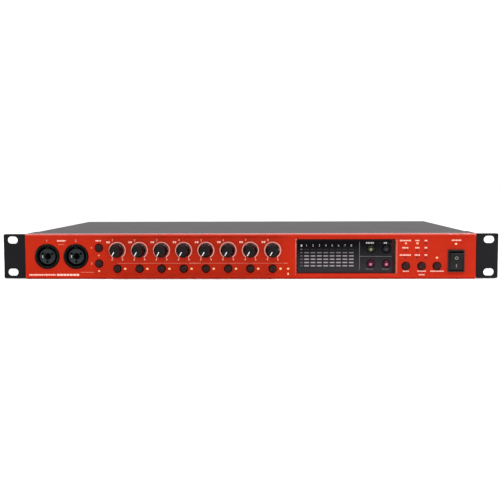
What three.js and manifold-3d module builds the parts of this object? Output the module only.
// A 19-inch, one-unit rack audio interface with eight microphone preamplifiers.
// Millimetres, +Z up, +X to the operator's right, +Y from the front panel to the rear.
// The working zero of Y is the front face of the rack ears, and the zero of Z is the
// underside of the casing; the exported group is shifted so that the origin is at the
// middle of the whole object's base.
import * as THREE from 'three';
import { mergeVertices } from 'three/addons/utils/BufferGeometryUtils.js';
import Module from 'manifold-3d';

const wasm = await Module();
wasm.setup();

// ---------------------------------------------------------------- driving dimensions

// Rack standard: panel width, panel height, and the slots that its bolts go through.
const RACK_WIDTH = 482.6;
const EAR_HEIGHT = 43.6;
const SLOT_SPAN = 465.1;
const SLOT_PITCH = 31.75;
const SLOT_LENGTH = 10.5;
const SLOT_HEIGHT = 7;
const MIDDLE_Z = 22;

// Casing of folded sheet.
const CASE_HALF_WIDTH = 219.8;
const CASE_HEIGHT = 44;
const CASE_BACK = 286;
const CASE_FRONT = 2.8;
const SHEET = 1.2;
const GAP = 0.3;
const COVER_BEND = 2.4;
const COVER_HEM = 5;
const COVER_SCREW = { x: 203.5, y: 80, recessDepth: 0.7, recessRadius: 4.2, holeRadius: 1.8 };
const TRAY_HALF_WIDTH = CASE_HALF_WIDTH - SHEET - GAP;
const TRAY_WALL_TOP = CASE_HEIGHT - COVER_BEND;
const REAR_INNER = CASE_BACK - SHEET;
const REAR_PANEL_Z = [SHEET + GAP, CASE_HEIGHT - COVER_HEM - GAP];
const VENTS = { first: 102, pitch: 6.5, count: 10, width: 2.6, z: [13, 33] };

// Front fascia: an aluminium extrusion with a flat face between two proud lips.
const FASCIA_HALF_WIDTH = 219.5;
const FACE_Y = -1.5;
const FACE_Z = [4.9, 39.8];
const LIP_Y = -3;
const LIP_Z = [2.7, 41.6];
const LIP_RADIUS = 1.4;
const FASCIA_BACK = 2.5;
const RAIL_BACK = 9;
const RAIL_HALF_WIDTH = 216;
const RAILS_Z = [[1.7, 4.4], [39.6, 42.4]];
const END_CHAMFER = 0.8;

// Rack ears.
const EAR_INNER = 220.1;
const EAR_THICKNESS = 3;
const EAR_CORNER = 1.5;
const EAR_FLANGE = { thickness: 2, front: 1, back: 58, corner: 8 };

// Gain knobs: one row of eight.
const CHANNELS = 8;
const KNOB_X = -128.9;
const KNOB_PITCH = 21.71;
const KNOB_Z = 27.8;
const KNOB_FRONT = -17.2;
const KNOB_BACK = -2.2;
const KNOB_SKIRT_RADIUS = 6.9;
const KNOB_SKIRT_DEPTH = 5.8;
const KNOB_GRIP_RADIUS = 5.5;
const KNOB_TIP_RADIUS = 4.9;
const SHAFT_RADIUS = 3;
const SHAFT_END = 11;
const SHAFT_HOLE_RADIUS = SHAFT_RADIUS + 0.8;
const KNOB_SIDES = 16;

// Push buttons.
const BUTTON_RADIUS = 3.8;
const BUTTON_FRONT = -3.2;
const BUTTON_END = 6.4;
const BUTTON_FLANGE_RADIUS = 4.7;
const CHANNEL_BUTTON_Z = 9.7;
const INSTRUMENT_BUTTONS = [[-147, 30.2], [-147, 14.8]];
const METER_BUTTONS = [[118.4, 28.8], [133.3, 28.8], [118.2, 14.3], [133.4, 14.3]];
const METER_BUTTON_FRONT = -1.6;
const SYNC_BUTTONS = [[152.2, 12.2], [167.4, 12.2], [182.2, 12.2]];

// Meter window: a pane in the fascia's cut-out, on a wider flange behind it.
const WINDOW_X = [46.1, 142.3];
const WINDOW_Z = [4.9, 38.5];
const WINDOW_FRONT = -0.4;
const WINDOW_FLANGE = { reach: 1.7, inset: 0.2, back: FASCIA_BACK + 1.5 };

// Power switch.
const SWITCH_X = 200.6;
const SWITCH_Z = 17.3;
const SWITCH_FRAME = { halfWidth: 7.9, halfHeight: 10.8, front: -3.1 };
const SWITCH_BODY = { halfWidth: 7.1, halfHeight: 10.1, back: 20 };
const SWITCH_WELL = { halfWidth: 6.5, halfHeight: 9.5, back: 8 };
const SWITCH_BLADES = { z: [-6, 0, 6], halfWidth: 3, halfHeight: 0.4, back: 28 };
const ROCKER = {
  pivotY: -0.5,
  halfWidth: 6.1,
  halfHeight: 8.3,
  ridge: -2.6,
  heel: -0.8,
  bellyHalfHeight: 4.5,
  belly: 3.6,
  hub: 5.2,
};
const ROCKER_TILT = THREE.MathUtils.degToRad(10);

// Combination XLR and 6.35 mm jack sockets, two on the front and six on the rear.
const COMBO_COLLAR_RADIUS = 12;
const COMBO_RING_RADIUS = 9.6;
const COMBO_CORE_RADIUS = 7.6;
const COMBO_CORE_FRONT = 1.8;
const COMBO_RING_DEPTH = 15;
const COMBO_HOLE_DEPTH = 20;
const COMBO_KEYWAY = { halfWidth: 1.8, halfHeight: 1.4, depth: 6 };
const COMBO_BODY = { halfWidth: 12.8, halfHeight: 14.3, depth: 26 };
const JACK_RADIUS = 3.3;
const FRONT_COMBO_X = [-198.1, -169.6];
const COMBO_Z = 21.8;
const REAR_COMBO_X = -203;
const REAR_COMBO_PITCH = 27;
const REAR_COMBOS = 6;
const FRONT_COLLAR_PROUD = 0.6;
const REAR_COLLAR_PROUD = 0.8;

// Line outputs: five moulded stacks of two jack sockets in one cut-out of the rear panel.
const LINE_JACK_X = -42;
const LINE_JACK_PITCH = 15;
const LINE_STACKS = 5;
const LINE_JACK_Z = [12.5, 30.5];
const LINE_STACK = { halfWidth: 7.2, z: [6.2, 36.8], front: 262, holeEnd: 266, proud: 0.8 };

// Digital sockets, on a plate of their own that is let into the rear panel.
const DIGITAL_PANEL_X = [29.5, 161];
const DIGITAL_PANEL_Z = [7, 36];
const MIDI = { x: [40, 61], shellRadius: 7.6, recessRadius: 6.8, proud: 0.6 };
const MIDI_BODY = { reach: 9.5, front: 272, z: [12, 32] };
const COAXIAL = { x: 82, z: [14, 29], barrelRadius: 4.2, holeRadius: 1.7, reach: 8 };
const COAXIAL_BODY = { halfWidth: 6, front: 270, holeEnd: 276, z: [7, 36] };
const OPTICAL_X = [102, 120];
const OPTICAL = { halfWidth: 7, halfHeight: 6.5, nose: 5.3, mouth: 4.2, front: 274, mouthDepth: 6, proud: 1 };
const WORD_CLOCK_X = 138;
const WORD_CLOCK_TIP = 295;
const WORD_CLOCK = { body: 7.5, front: 270, barrelRadius: 4.8, boreRadius: 4, pinRadius: 1.3 };
const WORD_CLOCK_PIN_INSET = 1.5;
const WORD_CLOCK_LUGS = { halfWidth: 5.6, halfHeight: 0.9, front: 291, back: 292.8 };
const DATA_PORT_X = 153.5;
const DATA_PORT = { halfWidth: 4.8, halfHeight: 2, wall: 0.6, front: 274, mouthEnd: 278, proud: 0.4 };
const DATA_TONGUE = { halfWidth: 3.3, halfHeight: 0.35 };

// Mains inlet: a screwed flange outside the panel round a deep three-pin well.
const INLET_X = 188;
const INLET_FLANGE = [
  [-25, -6],
  [-15, -11.2],
  [15, -11.2],
  [25, -6],
  [25, 6],
  [15, 11.2],
  [-15, 11.2],
  [-25, 6],
];
const INLET_WELL = [[-12, -8], [12, -8], [12, 4.5], [8.5, 8], [-8.5, 8], [-12, 4.5]];
const INLET_BODY = { halfWidth: 13.8, halfHeight: 10, front: 262, wellEnd: 267, flangeBack: CASE_BACK + 3 };
const INLET_PINS = { places: [[-7, -2], [0, 2], [7, -2]], halfWidth: 1, halfHeight: 2, inset: 2 };
const INLET_BLADES = { x: [-7, 0, 7], halfWidth: 0.4, halfHeight: 2.4, front: 254 };
const INLET_SCREWS = { x: [-20, 20], radius: 1.8 };

// Boards behind the fascia.
const FRONT_BOARD_Y = [13, 14.6];
const FRONT_BOARD_Z = [6, 38];
const PREAMP_BOARD_X = [-154, 40];
const DISPLAY_BOARD_X = [44, 190];
const DOME_SWITCH = { halfSize: 3, front: 7.6 };
const POTENTIOMETER = { halfWidth: 4.9, halfHeight: 5.5, front: 5.5, boreRadius: 3.35, boreEnd: 11.6 };
const PILLAR_RADIUS = 2;
const PILLAR_Z = [18, 35];
const HEADER = { x: [-60, -35], height: 6 };
const LIGHT_GUIDE = { x: [54, 102], z: [10, 32], front: FASCIA_BACK + 2.2 };
const STATUS_LIGHTS = { x: [150, 174], z: [19, 36], front: FASCIA_BACK + 1 };

// Boards on the tray, with their parts as [x, y, half size or radius, height].
const FLAT_BOARD_Z = [8, 9.6];
const MAIN_BOARD = { x: [-212, 70], y: [62, 250] };
const CHIP_ROW = { x: -190, pitch: 27 };
const PREAMP_CHIPS = { y: 225, halfSize: 5, height: 1.6 };
const RELAYS = { y: 205, halfSize: 4, height: 6 };
const CONVERTERS = [[-150, 165, 6, 1.6], [-95, 165, 6, 1.6], [-40, 165, 6, 1.6]];
const PROCESSORS = [[-60, 110, 12, 2.4], [20, 140, 9, 2.4]];
const MAIN_CAPACITORS = [[10, 190, 4, 12], [30, 190, 4, 12], [50, 190, 4, 12]];
const MAIN_HEADER_Y = [64, 70];
const SUPPLY_BOARD = { x: [84, 212], y: [62, 240] };
const SUPPLY_CAPACITORS = [[180, 110, 9, 26], [180, 140, 9, 26], [110, 200, 6, 20], [126, 200, 6, 20]];
const TRANSFORMER = { x: [96, 132], y: [130, 164], top: 36 };
const SUPPLY_CONNECTOR = { x: [165, 195], y: [200, 222], top: 28 };
const STANDOFF_RADIUS = 3;
const STANDOFFS = [[-205, 75], [-205, 240], [-75, 160], [60, 75], [60, 240], [92, 75], [92, 230], [205, 230]];

// The sleeved mains wires between the inlet and the switch, along the right-hand wall.
const LOOM_RADIUS = 1.8;
const LOOM_ROUTE = [
  [190, 253, 22],
  [191, 248, 22],
  [203, 240, 20],
  [210, 228, 18],
  [211, 140, 16],
  [210, 60, 16],
  [206, 42, 17],
  [SWITCH_X, 34, SWITCH_Z],
  [SWITCH_X, SWITCH_BLADES.back + 0.6, SWITCH_Z],
];

// ---------------------------------------------------------------- geometry helpers

const WELD = 1e-4;

// How far a cutting tool runs past a face, and how far joined pieces run into each other.
const OVER = 1;
const OVERLAP = 0.5;

// Sides of the polygons that stand for large and for small circles.
const LARGE_ROUND = 20;
const SMALL_ROUND = 12;
const POST_ROUND = 8;

// Turns a closed three.js geometry into a solid that can be joined and cut.
function solid(geometry) {
  const bare = geometry.clone();
  bare.deleteAttribute('normal');
  bare.deleteAttribute('uv');
  const merged = mergeVertices(bare, WELD);
  const corners = merged.index.array;
  const kept = [];
  for (let i = 0; i < corners.length; i += 3) {
    const [a, b, c] = corners.slice(i, i + 3);
    if (a !== b && b !== c && c !== a) kept.push(a, b, c);
  }
  return new wasm.Manifold(new wasm.Mesh({
    numProp: 3,
    vertProperties: new Float32Array(merged.attributes.position.array),
    triVerts: new Uint32Array(kept),
  }));
}

function join(first, ...others) {
  return others.reduce((whole, piece) => whole.add(piece), first);
}

function cut(body, ...tools) {
  return body.subtract(join(...tools));
}

function geometryOf(body) {
  const mesh = body.getMesh();
  const geometry = new THREE.BufferGeometry();
  geometry.setAttribute('position', new THREE.BufferAttribute(mesh.vertProperties, 3));
  geometry.setIndex(new THREE.BufferAttribute(mesh.triVerts, 1));
  return geometry;
}

const middle = ([low, high]) => (low + high) / 2;
const inset = ([low, high], by) => [low + by, high - by];

// A block between [low, high] on each axis.
function block(x, y, z) {
  const box = new THREE.BoxGeometry(x[1] - x[0], y[1] - y[0], z[1] - z[0]);
  return solid(box.translate(middle(x), middle(y), middle(z)));
}

// A block given by its centre and half sizes across X and Z, between two values of Y.
function blockAt(x, z, halfWidth, halfHeight, y) {
  return block([x - halfWidth, x + halfWidth], y, [z - halfHeight, z + halfHeight]);
}

function rodAlongY(radius, y, x = 0, z = 0, sides = SMALL_ROUND) {
  const rod = new THREE.CylinderGeometry(radius, radius, y[1] - y[0], sides);
  return solid(rod.translate(x, middle(y), z));
}

function rodAlongZ(radius, z, x, y, sides = SMALL_ROUND) {
  const rod = new THREE.CylinderGeometry(radius, radius, z[1] - z[0], sides);
  return solid(rod.rotateX(Math.PI / 2).translate(x, y, middle(z)));
}

// Turns a profile of [radius, y] points about the Y axis.
function turned(profile, sides) {
  return solid(new THREE.LatheGeometry(profile.map(([r, y]) => new THREE.Vector2(r, y)), sides));
}

function polygon(points) {
  return new THREE.Shape(points.map(([a, b]) => new THREE.Vector2(a, b)));
}

// Extrudes a shape drawn in X and Z through the span y.
function plateAlongY(shape, y, curveSegments = 6) {
  const settings = { depth: y[1] - y[0], bevelEnabled: false, curveSegments };
  const plate = new THREE.ExtrudeGeometry(shape, settings);
  return solid(plate.rotateX(Math.PI / 2).translate(0, y[1], 0));
}

// Extrudes a shape drawn in Y and Z through the span x.
function prismAlongX(shape, x, curveSegments = 6) {
  const settings = { depth: x[1] - x[0], bevelEnabled: false, curveSegments };
  const prism = new THREE.ExtrudeGeometry(shape, settings);
  const axes = [new THREE.Vector3(0, 1, 0), new THREE.Vector3(0, 0, 1), new THREE.Vector3(1, 0, 0)];
  prism.applyMatrix4(new THREE.Matrix4().makeBasis(...axes));
  return solid(prism.translate(x[0], 0, 0));
}

// A shape with its upper two corners rounded, for sheet bent down at both sides.
function archShape(halfWidth, bottom, top, radius) {
  const shape = new THREE.Shape();
  shape.moveTo(-halfWidth, bottom);
  shape.lineTo(halfWidth, bottom);
  shape.lineTo(halfWidth, top - radius);
  shape.absarc(halfWidth - radius, top - radius, radius, 0, Math.PI / 2);
  shape.lineTo(-halfWidth + radius, top);
  shape.absarc(-halfWidth + radius, top - radius, radius, Math.PI / 2, Math.PI);
  return shape;
}

// A straight-sided slot with round ends, lying along X.
function slotPath(x, z, length, height) {
  const radius = height / 2;
  const reach = length / 2 - radius;
  const path = new THREE.Path();
  path.absarc(x + reach, z, radius, -Math.PI / 2, Math.PI / 2);
  path.absarc(x - reach, z, radius, Math.PI / 2, Math.PI * 1.5);
  path.closePath();
  return path;
}

function finish(color, roughness, metalness) {
  return new THREE.MeshStandardMaterial({ color, roughness, metalness });
}

const RED_PAINT = finish(0xc8301a, 0.42, 0.1);
const GREY_PAINT = finish(0x77767a, 0.6, 0.15);
const BLACK_PAINT = finish(0x26252a, 0.5, 0.1);
const BLACK_PLASTIC = finish(0x17171a, 0.45, 0);
const SMOKED_PLASTIC = finish(0x101013, 0.08, 0);
const BUTTON_PLASTIC = finish(0x221f20, 0.4, 0);
const LIT_BUTTON_PLASTIC = finish(0x9a5a6a, 0.4, 0);
const BOARD = finish(0x1f4a2e, 0.5, 0);
const BARE_METAL = finish(0xb4b6b8, 0.35, 0.9);
const GOLD = finish(0xc9a54a, 0.3, 1);
const WIRE = finish(0x3a2a22, 0.6, 0);

// Everything hangs from the assembly, whose own shift puts the origin under its middle.
const assembly = new THREE.Group();
assembly.position.y = -(KNOB_FRONT + WORD_CLOCK_TIP) / 2;

function add(name, body, material, [x, y, z] = [0, 0, 0], turn = [0, 0, 0]) {
  const mesh = new THREE.Mesh(geometryOf(body), material);
  mesh.name = name;
  mesh.position.set(x, y, z);
  mesh.rotation.set(...turn);
  assembly.add(mesh);
}

// ---------------------------------------------------------------- places

const row = (count, first, pitch) => Array.from({ length: count }, (_, i) => first + i * pitch);
const knobPlaces = row(CHANNELS, KNOB_X, KNOB_PITCH);
const channelButtonPlaces = knobPlaces.map((x) => [x, CHANNEL_BUTTON_Z]);
const fasciaButtonPlaces = [...INSTRUMENT_BUTTONS, ...channelButtonPlaces, ...SYNC_BUTTONS];
const rearComboPlaces = row(REAR_COMBOS, REAR_COMBO_X, REAR_COMBO_PITCH);
const lineStackPlaces = row(LINE_STACKS, LINE_JACK_X, LINE_JACK_PITCH);

// ---------------------------------------------------------------- casing

// Cooling slots through one side wall.
function sideVents(side) {
  const reach = SHEET * 3;
  const wall = [side * CASE_HALF_WIDTH - reach, side * CASE_HALF_WIDTH + reach];
  return row(VENTS.count, VENTS.first, VENTS.pitch).map((y) => block(wall, [y, y + VENTS.width], VENTS.z));
}

const allVents = [...sideVents(-1), ...sideVents(1)];

function baseTray() {
  const inner = TRAY_HALF_WIDTH - SHEET;
  const floor = block([-TRAY_HALF_WIDTH, TRAY_HALF_WIDTH], [CASE_FRONT, CASE_BACK], [0, SHEET]);
  const walls = [-1, 1].map((side) => {
    const x = [side * TRAY_HALF_WIDTH, side * inner].sort((a, b) => a - b);
    return block(x, [CASE_FRONT, REAR_INNER - GAP], [SHEET / 2, TRAY_WALL_TOP]);
  });
  const posts = STANDOFFS.map(([x, y]) => {
    return rodAlongZ(STANDOFF_RADIUS, [SHEET / 2, FLAT_BOARD_Z[0] - GAP], x, y, POST_ROUND);
  });
  return cut(join(floor, ...walls, ...posts), ...allVents);
}

function topCover() {
  const across = plateAlongY(
    archShape(CASE_HALF_WIDTH, SHEET / 2, CASE_HEIGHT, COVER_BEND),
    [CASE_FRONT, CASE_BACK],
  );
  const along = new THREE.Shape();
  along.moveTo(CASE_FRONT, SHEET / 2);
  along.lineTo(CASE_BACK, SHEET / 2);
  along.lineTo(CASE_BACK, CASE_HEIGHT - COVER_BEND);
  along.absarc(CASE_BACK - COVER_BEND, CASE_HEIGHT - COVER_BEND, COVER_BEND, 0, Math.PI / 2);
  along.lineTo(CASE_FRONT, CASE_HEIGHT);
  const folded = across.intersect(prismAlongX(along, [-CASE_HALF_WIDTH, CASE_HALF_WIDTH]));
  const inside = plateAlongY(
    archShape(CASE_HALF_WIDTH - SHEET, 0, CASE_HEIGHT - SHEET, COVER_BEND - SHEET),
    [0, REAR_INNER],
  );
  const rearOpening = block(
    inset([-CASE_HALF_WIDTH, CASE_HALF_WIDTH], SHEET),
    [REAR_INNER - SHEET, CASE_BACK + OVER],
    [0, CASE_HEIGHT - COVER_HEM],
  );
  const top = CASE_HEIGHT + OVER;
  const { y, recessDepth, recessRadius, holeRadius } = COVER_SCREW;
  const screwHoles = [-COVER_SCREW.x, COVER_SCREW.x].flatMap((x) => [
    rodAlongZ(holeRadius, [CASE_HEIGHT - SHEET - OVER, top], x, y, POST_ROUND),
    rodAlongZ(recessRadius, [CASE_HEIGHT - recessDepth, top], x, y),
  ]);
  return cut(folded, inside, rearOpening, ...screwHoles, ...allVents);
}

const REAR_SPAN = [REAR_INNER, CASE_BACK];
const THROUGH_REAR = [REAR_INNER - OVER, CASE_BACK + OVER];

// The cut-out that the line output stacks fill.
const lineOpening = () => block(
  [lineStackPlaces[0] - LINE_STACK.halfWidth - GAP, lineStackPlaces.at(-1) + LINE_STACK.halfWidth + GAP],
  THROUGH_REAR,
  inset(LINE_STACK.z, -GAP),
);

function rearPanel() {
  const sheet = block([-TRAY_HALF_WIDTH, TRAY_HALF_WIDTH], REAR_SPAN, REAR_PANEL_Z);
  const combos = rearComboPlaces.map((x) => {
    return rodAlongY(COMBO_COLLAR_RADIUS + GAP, THROUGH_REAR, x, COMBO_Z, LARGE_ROUND);
  });
  const { halfWidth, halfHeight } = INLET_BODY;
  return cut(
    sheet,
    ...combos,
    lineOpening(),
    block(inset(DIGITAL_PANEL_X, -GAP), THROUGH_REAR, inset(DIGITAL_PANEL_Z, -GAP)),
    blockAt(INLET_X, MIDDLE_Z, halfWidth + GAP, halfHeight + GAP, THROUGH_REAR),
  );
}

function digitalPanel() {
  const shells = MIDI.x.map((x) => rodAlongY(MIDI.shellRadius + GAP, THROUGH_REAR, x, MIDDLE_Z));
  const barrels = COAXIAL.z.map((z) => rodAlongY(COAXIAL.barrelRadius + GAP, THROUGH_REAR, COAXIAL.x, z));
  const nose = OPTICAL.nose + GAP;
  const noses = OPTICAL_X.map((x) => blockAt(x, MIDDLE_Z, nose, nose, THROUGH_REAR));
  const { halfWidth, halfHeight } = DATA_PORT;
  return cut(
    block(DIGITAL_PANEL_X, REAR_SPAN, DIGITAL_PANEL_Z),
    ...shells,
    ...barrels,
    ...noses,
    rodAlongY(WORD_CLOCK.barrelRadius + GAP, THROUGH_REAR, WORD_CLOCK_X, MIDDLE_Z),
    blockAt(DATA_PORT_X, MIDDLE_Z, halfWidth + GAP, halfHeight + GAP, THROUGH_REAR),
  );
}

// Outline of the fascia in Y and Z: rounded lips above and below the flat face.
function fasciaOutline() {
  const shape = new THREE.Shape();
  shape.moveTo(FASCIA_BACK, 0);
  shape.lineTo(FASCIA_BACK, CASE_HEIGHT);
  shape.lineTo(LIP_Y + LIP_RADIUS, CASE_HEIGHT);
  shape.absarc(LIP_Y + LIP_RADIUS, CASE_HEIGHT - LIP_RADIUS, LIP_RADIUS, Math.PI / 2, Math.PI);
  shape.lineTo(LIP_Y, LIP_Z[1]);
  shape.lineTo(FACE_Y, FACE_Z[1]);
  shape.lineTo(FACE_Y, FACE_Z[0]);
  shape.lineTo(LIP_Y, LIP_Z[0]);
  shape.lineTo(LIP_Y, LIP_RADIUS);
  shape.absarc(LIP_Y + LIP_RADIUS, LIP_RADIUS, LIP_RADIUS, Math.PI, Math.PI * 1.5);
  return shape;
}

// Wedges that chamfer the fascia's two upright ends.
function endWedge(side) {
  const x = side * FASCIA_HALF_WIDTH;
  const wedge = polygon([
    [x - side * END_CHAMFER * 2, LIP_Y - END_CHAMFER],
    [x + side * END_CHAMFER, LIP_Y - END_CHAMFER],
    [x + side * END_CHAMFER, LIP_Y + END_CHAMFER * 2],
  ]);
  const settings = { depth: CASE_HEIGHT + 2 * OVER, bevelEnabled: false };
  return solid(new THREE.ExtrudeGeometry(wedge, settings).translate(0, 0, -OVER));
}

function frontFascia() {
  const through = [LIP_Y - OVER, RAIL_BACK + OVER];
  const skin = prismAlongX(fasciaOutline(), [-FASCIA_HALF_WIDTH, FASCIA_HALF_WIDTH], 5);
  const rails = RAILS_Z.map((z) => {
    return block([-RAIL_HALF_WIDTH, RAIL_HALF_WIDTH], [FASCIA_BACK - OVERLAP, RAIL_BACK], z);
  });
  const combos = FRONT_COMBO_X.map((x) => {
    return rodAlongY(COMBO_COLLAR_RADIUS + GAP, through, x, COMBO_Z, LARGE_ROUND);
  });
  const shafts = knobPlaces.map((x) => rodAlongY(SHAFT_HOLE_RADIUS, through, x, KNOB_Z, POST_ROUND));
  const buttons = fasciaButtonPlaces.map(([x, z]) => rodAlongY(BUTTON_RADIUS + GAP, through, x, z));
  return cut(
    join(skin, ...rails),
    endWedge(-1),
    endWedge(1),
    ...combos,
    ...shafts,
    ...buttons,
    block(WINDOW_X, [LIP_Y - OVER, FASCIA_BACK + OVER], WINDOW_Z),
    blockAt(SWITCH_X, SWITCH_Z, SWITCH_BODY.halfWidth + GAP, SWITCH_BODY.halfHeight + GAP, through),
  );
}

// An L of thick plate: the slotted front face, and a flange against the casing's side.
function rackEar(side) {
  const outer = RACK_WIDTH / 2;
  const low = MIDDLE_Z - EAR_HEIGHT / 2;
  const high = MIDDLE_Z + EAR_HEIGHT / 2;
  const face = new THREE.Shape();
  face.moveTo(EAR_INNER, low);
  face.lineTo(outer - EAR_CORNER, low);
  face.absarc(outer - EAR_CORNER, low + EAR_CORNER, EAR_CORNER, -Math.PI / 2, 0);
  face.absarc(outer - EAR_CORNER, high - EAR_CORNER, EAR_CORNER, 0, Math.PI / 2);
  face.lineTo(EAR_INNER, high);
  for (const rise of [-SLOT_PITCH / 2, SLOT_PITCH / 2]) {
    face.holes.push(slotPath(SLOT_SPAN / 2, MIDDLE_Z + rise, SLOT_LENGTH, SLOT_HEIGHT));
  }
  const { thickness, front, back, corner } = EAR_FLANGE;
  const flange = polygon([
    [front, low],
    [back - corner, low],
    [back, low + corner],
    [back, high - corner],
    [back - corner, high],
    [front, high],
  ]);
  const right = join(
    plateAlongY(face, [0, EAR_THICKNESS]),
    prismAlongX(flange, [EAR_INNER, EAR_INNER + thickness]),
  );
  return side > 0 ? right : right.mirror([1, 0, 0]);
}

function meterWindow() {
  const { reach, inset: height, back } = WINDOW_FLANGE;
  const pane = block(inset(WINDOW_X, GAP), [WINDOW_FRONT, FASCIA_BACK + OVER], inset(WINDOW_Z, GAP));
  const flange = block(inset(WINDOW_X, -reach), [FASCIA_BACK + GAP, back], inset(WINDOW_Z, height));
  const holes = METER_BUTTONS.map(([x, z]) => {
    return rodAlongY(BUTTON_RADIUS + GAP, [WINDOW_FRONT - OVER, back + OVER], x, z);
  });
  return cut(join(pane, flange), ...holes);
}

add('base_tray', baseTray(), GREY_PAINT);
add('top_cover', topCover(), GREY_PAINT);
add('rear_panel', rearPanel(), BLACK_PAINT);
add('digital_panel', digitalPanel(), BLACK_PAINT);
add('front_fascia', frontFascia(), RED_PAINT);
add('left_rack_ear', rackEar(-1), BLACK_PAINT);
add('right_rack_ear', rackEar(1), BLACK_PAINT);
add('meter_window', meterWindow(), SMOKED_PLASTIC);

// ---------------------------------------------------------------- knobs and buttons

// A knob fixed on its shaft, with a tapered grip on a wider skirt. It turns about the local Y axis.
function gainKnob() {
  const front = KNOB_FRONT - KNOB_BACK;
  const edge = 0.6;
  const shoulder = KNOB_SKIRT_RADIUS - KNOB_GRIP_RADIUS;
  return turned([
    [0, front],
    [KNOB_TIP_RADIUS - edge, front],
    [KNOB_TIP_RADIUS, front + edge],
    [KNOB_GRIP_RADIUS, -KNOB_SKIRT_DEPTH - shoulder],
    [KNOB_SKIRT_RADIUS, -KNOB_SKIRT_DEPTH],
    [KNOB_SKIRT_RADIUS, 0],
    [SHAFT_RADIUS, 0],
    [SHAFT_RADIUS, SHAFT_END - KNOB_BACK],
    [0, SHAFT_END - KNOB_BACK],
  ], KNOB_SIDES);
}

// A round cap with a flange behind the panel that keeps it in; front is the cap's face.
function pushButton(front, flangeFront) {
  const edge = 0.4;
  return turned([
    [0, front],
    [BUTTON_RADIUS - edge, front],
    [BUTTON_RADIUS, front + edge],
    [BUTTON_RADIUS, flangeFront],
    [BUTTON_FLANGE_RADIUS, flangeFront],
    [BUTTON_FLANGE_RADIUS, BUTTON_END],
    [0, BUTTON_END],
  ], SMALL_ROUND);
}

function addButtons(name, places, front, flangeFront, material) {
  places.forEach(([x, z], i) => {
    add(`${name}_${i + 1}`, pushButton(front, flangeFront), material, [x, 0, z]);
  });
}

knobPlaces.forEach((x, i) => {
  add(`gain_knob_${i + 1}`, gainKnob(), BLACK_PLASTIC, [x, KNOB_BACK, KNOB_Z]);
});
const behindFascia = FASCIA_BACK + GAP;
const behindWindow = WINDOW_FLANGE.back + GAP;
addButtons('instrument_button', INSTRUMENT_BUTTONS, BUTTON_FRONT, behindFascia, BUTTON_PLASTIC);
addButtons('channel_button', channelButtonPlaces, BUTTON_FRONT, behindFascia, BUTTON_PLASTIC);
addButtons('meter_button', METER_BUTTONS, METER_BUTTON_FRONT, behindWindow, LIT_BUTTON_PLASTIC);
addButtons('sync_button', SYNC_BUTTONS, BUTTON_FRONT, behindFascia, BUTTON_PLASTIC);

// ---------------------------------------------------------------- power switch

function switchHousing() {
  const { front } = SWITCH_FRAME;
  const { back } = SWITCH_BODY;
  const frame = blockAt(0, 0, SWITCH_FRAME.halfWidth, SWITCH_FRAME.halfHeight, [front, FACE_Y - GAP]);
  const body = blockAt(0, 0, SWITCH_BODY.halfWidth, SWITCH_BODY.halfHeight, [FACE_Y - OVER, back]);
  const well = blockAt(0, 0, SWITCH_WELL.halfWidth, SWITCH_WELL.halfHeight, [front - OVER, SWITCH_WELL.back]);
  const bladeSpan = [back - OVERLAP, SWITCH_BLADES.back];
  const blades = SWITCH_BLADES.z.map((z) => {
    return blockAt(0, z, SWITCH_BLADES.halfWidth, SWITCH_BLADES.halfHeight, bladeSpan);
  });
  return join(cut(join(frame, body), well), ...blades);
}

// The rocker is a shallow V, whose lower half stands flush when the switch is on.
function rocker() {
  const { ridge, heel, belly, hub, halfHeight, bellyHalfHeight, halfWidth } = ROCKER;
  const end = ridge - halfHeight * Math.tan(ROCKER_TILT);
  const outline = polygon([
    [ridge, 0],
    [end, -halfHeight],
    [heel, -halfHeight],
    [belly, -bellyHalfHeight],
    [hub, 0],
    [belly, bellyHalfHeight],
    [heel, halfHeight],
    [end, halfHeight],
  ]);
  return prismAlongX(outline, [-halfWidth, halfWidth]);
}

add('power_switch_housing', switchHousing(), BLACK_PLASTIC, [SWITCH_X, 0, SWITCH_Z]);
add('power_rocker', rocker(), BLACK_PLASTIC, [SWITCH_X, ROCKER.pivotY, SWITCH_Z], [ROCKER_TILT, 0, 0]);

// ---------------------------------------------------------------- sockets

// A combination socket: its mouth faces -Y at y = 0, and its collar passes the panel.
function comboJack(collar) {
  const { halfWidth, halfHeight, depth } = COMBO_BODY;
  const body = blockAt(0, 0, halfWidth, halfHeight, [collar, collar + depth]);
  const neck = rodAlongY(COMBO_COLLAR_RADIUS, [0, collar + OVERLAP], 0, 0, LARGE_ROUND);
  const ring = rodAlongY(COMBO_RING_RADIUS, [-OVER, COMBO_RING_DEPTH], 0, 0, LARGE_ROUND);
  const keyway = blockAt(
    0,
    COMBO_RING_RADIUS,
    COMBO_KEYWAY.halfWidth,
    COMBO_KEYWAY.halfHeight,
    [-OVER, COMBO_KEYWAY.depth],
  );
  const core = rodAlongY(COMBO_CORE_RADIUS, [COMBO_CORE_FRONT, COMBO_RING_DEPTH + OVERLAP]);
  const hole = rodAlongY(JACK_RADIUS, [-OVER, COMBO_HOLE_DEPTH]);
  return cut(join(cut(join(body, neck), ring, keyway), core), hole);
}

const FACING_REAR = [0, 0, Math.PI];

FRONT_COMBO_X.forEach((x, i) => {
  const mouth = FACE_Y - FRONT_COLLAR_PROUD;
  const jack = comboJack(FASCIA_BACK + GAP - mouth);
  add(`front_combo_jack_${i + 1}`, jack, BLACK_PLASTIC, [x, mouth, COMBO_Z]);
});
rearComboPlaces.forEach((x, i) => {
  const mouth = CASE_BACK + REAR_COLLAR_PROUD;
  const jack = comboJack(mouth - REAR_INNER + GAP);
  add(`rear_combo_jack_${CHANNELS - i}`, jack, BLACK_PLASTIC, [x, mouth, COMBO_Z], FACING_REAR);
});

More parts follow.
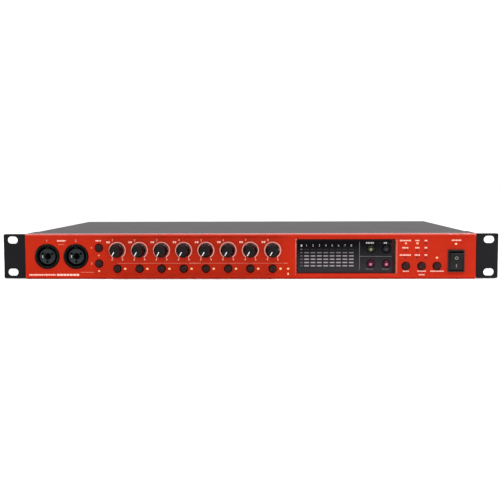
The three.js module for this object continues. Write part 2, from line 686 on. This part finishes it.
// Two jack sockets, one above the other, in one moulding.
function lineStack() {
  const face = CASE_BACK + LINE_STACK.proud;
  const body = block([-LINE_STACK.halfWidth, LINE_STACK.halfWidth], [LINE_STACK.front, face], LINE_STACK.z);
  const holes = LINE_JACK_Z.map((z) => rodAlongY(JACK_RADIUS, [LINE_STACK.holeEnd, face + OVER], 0, z));
  return cut(body, ...holes);
}

const BEHIND_REAR = REAR_INNER - GAP;

function midiSockets() {
  const body = block(inset(MIDI.x, -MIDI_BODY.reach), [MIDI_BODY.front, BEHIND_REAR], MIDI_BODY.z);
  const shells = MIDI.x.map((x) => {
    return rodAlongY(MIDI.shellRadius, [BEHIND_REAR - OVERLAP, CASE_BACK + MIDI.proud], x, MIDDLE_Z);
  });
  const recesses = MIDI.x.map((x) => {
    return rodAlongY(MIDI.recessRadius, [REAR_INNER - SHEET, CASE_BACK + OVER], x, MIDDLE_Z);
  });
  return cut(join(body, ...shells), ...recesses);
}

function coaxialSockets() {
  const { x, barrelRadius, holeRadius } = COAXIAL;
  const { halfWidth, front, holeEnd } = COAXIAL_BODY;
  const tip = CASE_BACK + COAXIAL.reach;
  const body = block([x - halfWidth, x + halfWidth], [front, BEHIND_REAR], COAXIAL_BODY.z);
  const barrels = COAXIAL.z.map((z) => rodAlongY(barrelRadius, [BEHIND_REAR - OVERLAP, tip], x, z));
  const holes = COAXIAL.z.map((z) => rodAlongY(holeRadius, [holeEnd, tip + OVER], x, z, POST_ROUND));
  return cut(join(body, ...barrels), ...holes);
}

function opticalSocket() {
  const { halfWidth, halfHeight, nose, mouth, front, mouthDepth } = OPTICAL;
  const face = CASE_BACK + OPTICAL.proud;
  const body = blockAt(0, 0, halfWidth, halfHeight, [front, BEHIND_REAR]);
  const frame = blockAt(0, 0, nose, nose, [BEHIND_REAR - OVERLAP, face]);
  return cut(join(body, frame), blockAt(0, 0, mouth, mouth, [face - mouthDepth, face + OVER]));
}

function wordClockSocket() {
  const { body: reach, front, barrelRadius, boreRadius, pinRadius } = WORD_CLOCK;
  const body = blockAt(0, 0, reach, reach, [front, BEHIND_REAR]);
  const barrel = rodAlongY(barrelRadius, [BEHIND_REAR - OVERLAP, WORD_CLOCK_TIP]);
  const bore = rodAlongY(boreRadius, [CASE_BACK + OVER, WORD_CLOCK_TIP + OVER]);
  const pin = rodAlongY(pinRadius, [CASE_BACK, WORD_CLOCK_TIP - WORD_CLOCK_PIN_INSET], 0, 0, POST_ROUND);
  const { halfWidth, halfHeight, front: lugFront, back } = WORD_CLOCK_LUGS;
  const lugs = blockAt(0, 0, halfWidth, halfHeight, [lugFront, back]);
  return join(cut(join(body, barrel, lugs), bore), pin);
}

function dataPort() {
  const { halfWidth, halfHeight, wall, front, mouthEnd } = DATA_PORT;
  const face = CASE_BACK + DATA_PORT.proud;
  const shell = blockAt(0, 0, halfWidth, halfHeight, [front, face]);
  const mouth = blockAt(0, 0, halfWidth - wall, halfHeight - wall, [mouthEnd, face + OVER]);
  const tongueSpan = [mouthEnd - OVERLAP, face - OVER];
  const tongue = blockAt(0, 0, DATA_TONGUE.halfWidth, DATA_TONGUE.halfHeight, tongueSpan);
  return join(cut(shell, mouth), tongue);
}

function mainsInlet() {
  const { halfWidth, halfHeight, front, wellEnd, flangeBack } = INLET_BODY;
  const plate = plateAlongY(polygon(INLET_FLANGE), [CASE_BACK + GAP, flangeBack]);
  const body = blockAt(0, 0, halfWidth, halfHeight, [front, CASE_BACK + OVER]);
  const well = plateAlongY(polygon(INLET_WELL), [wellEnd, flangeBack + OVER]);
  const screwHoles = INLET_SCREWS.x.map((x) => {
    return rodAlongY(INLET_SCREWS.radius, [CASE_BACK, flangeBack + OVER], x, 0, POST_ROUND);
  });
  const pinSpan = [wellEnd - OVERLAP, CASE_BACK - INLET_PINS.inset];
  const pins = INLET_PINS.places.map(([x, z]) => {
    return blockAt(x, z, INLET_PINS.halfWidth, INLET_PINS.halfHeight, pinSpan);
  });
  const blades = INLET_BLADES.x.map((x) => {
    const span = [INLET_BLADES.front, front + OVERLAP];
    return blockAt(x, 0, INLET_BLADES.halfWidth, INLET_BLADES.halfHeight, span);
  });
  return join(cut(join(plate, body), well, ...screwHoles), ...pins, ...blades);
}

lineStackPlaces.forEach((x, i) => {
  add(`line_output_jacks_${i + 1}`, lineStack(), BLACK_PLASTIC, [x, 0, 0]);
});
add('midi_sockets', midiSockets(), BLACK_PLASTIC);
add('coaxial_sockets', coaxialSockets(), GOLD);
add('optical_output_socket', opticalSocket(), BLACK_PLASTIC, [OPTICAL_X[0], 0, MIDDLE_Z]);
add('optical_input_socket', opticalSocket(), BLACK_PLASTIC, [OPTICAL_X[1], 0, MIDDLE_Z]);
add('word_clock_socket', wordClockSocket(), BARE_METAL, [WORD_CLOCK_X, 0, MIDDLE_Z]);
add('data_port', dataPort(), BARE_METAL, [DATA_PORT_X, 0, MIDDLE_Z]);
add('mains_inlet', mainsInlet(), BLACK_PLASTIC, [INLET_X, 0, MIDDLE_Z]);

// ---------------------------------------------------------------- boards behind the fascia

const ON_FRONT_BOARD = FRONT_BOARD_Y[0] + OVERLAP;

// A dome switch behind a push button; its plunger stops just short of the pressed cap.
function domeSwitch([x, z]) {
  return blockAt(x, z, DOME_SWITCH.halfSize, DOME_SWITCH.halfSize, [DOME_SWITCH.front, ON_FRONT_BOARD]);
}

// A potentiometer whose bushing takes a gain knob's shaft.
function potentiometer(x) {
  const { halfWidth, halfHeight, front, boreRadius, boreEnd } = POTENTIOMETER;
  const body = blockAt(x, KNOB_Z, halfWidth, halfHeight, [front, ON_FRONT_BOARD]);
  return cut(body, rodAlongY(boreRadius, [front - OVER, boreEnd], x, KNOB_Z, KNOB_SIDES));
}

// A pillar that holds a front board off the fascia.
function pillar([x, z]) {
  return rodAlongY(PILLAR_RADIUS, [FASCIA_BACK + GAP, ON_FRONT_BOARD], x, z, POST_ROUND);
}

function frontBoard(x, parts) {
  return join(block(x, FRONT_BOARD_Y, FRONT_BOARD_Z), ...parts);
}

function preampControlBoard() {
  const between = [knobPlaces[0], knobPlaces.at(-2)].map((x) => x + KNOB_PITCH / 2);
  const pillars = between.flatMap((x) => PILLAR_Z.map((z) => pillar([x, z])));
  const headerY = [FRONT_BOARD_Y[1] - OVERLAP, FRONT_BOARD_Y[1] + HEADER.height];
  return frontBoard(PREAMP_BOARD_X, [
    ...knobPlaces.map(potentiometer),
    ...INSTRUMENT_BUTTONS.map(domeSwitch),
    ...channelButtonPlaces.map(domeSwitch),
    ...pillars,
    block(HEADER.x, headerY, inset(FRONT_BOARD_Z, HEADER.height * 2)),
  ]);
}

// The light guides that carry the meter's segments and the status lights stand before the board.
function displayControlBoard() {
  const guides = [LIGHT_GUIDE, STATUS_LIGHTS].map(({ x, z, front }) => block(x, [front, ON_FRONT_BOARD], z));
  const switches = [...METER_BUTTONS, ...SYNC_BUTTONS].map(domeSwitch);
  return frontBoard(DISPLAY_BOARD_X, [...guides, ...switches]);
}

add('preamp_control_board', preampControlBoard(), BOARD);
add('display_control_board', displayControlBoard(), BOARD);

// ---------------------------------------------------------------- boards on the tray

const onBoard = (height) => [FLAT_BOARD_Z[1] - OVERLAP, FLAT_BOARD_Z[1] + height];

function chip([x, y, halfSize, height]) {
  return block([x - halfSize, x + halfSize], [y - halfSize, y + halfSize], onBoard(height));
}

function capacitor([x, y, radius, height]) {
  return rodAlongZ(radius, onBoard(height), x, y);
}

// A row of like parts, one for each channel.
function chipRow({ y, halfSize, height }) {
  return row(CHANNELS, CHIP_ROW.x, CHIP_ROW.pitch).map((x) => chip([x, y, halfSize, height]));
}

function mainBoard() {
  return join(
    block(MAIN_BOARD.x, MAIN_BOARD.y, FLAT_BOARD_Z),
    ...chipRow(PREAMP_CHIPS),
    ...chipRow(RELAYS),
    ...CONVERTERS.map(chip),
    ...PROCESSORS.map(chip),
    ...MAIN_CAPACITORS.map(capacitor),
    block(HEADER.x, MAIN_HEADER_Y, onBoard(HEADER.height)),
  );
}

function powerSupplyBoard() {
  const blocks = [TRANSFORMER, SUPPLY_CONNECTOR].map(({ x, y, top }) => {
    return block(x, y, [FLAT_BOARD_Z[1] - OVERLAP, top]);
  });
  return join(
    block(SUPPLY_BOARD.x, SUPPLY_BOARD.y, FLAT_BOARD_Z),
    ...blocks,
    ...SUPPLY_CAPACITORS.map(capacitor),
  );
}

add('main_board', mainBoard(), BOARD);
add('power_supply_board', powerSupplyBoard(), BOARD);

// ---------------------------------------------------------------- internal wiring

function mainsLoom() {
  const route = new THREE.CatmullRomCurve3(LOOM_ROUTE.map((point) => new THREE.Vector3(...point)));
  const section = new THREE.Shape().absarc(0, 0, LOOM_RADIUS, 0, Math.PI * 2);
  const settings = { extrudePath: route, steps: 24, curveSegments: 3, bevelEnabled: false };
  return solid(new THREE.ExtrudeGeometry(section, settings));
}

add('mains_loom', mainsLoom(), WIRE);

const audioInterface = new THREE.Group();
audioInterface.add(assembly);

export default audioInterface;
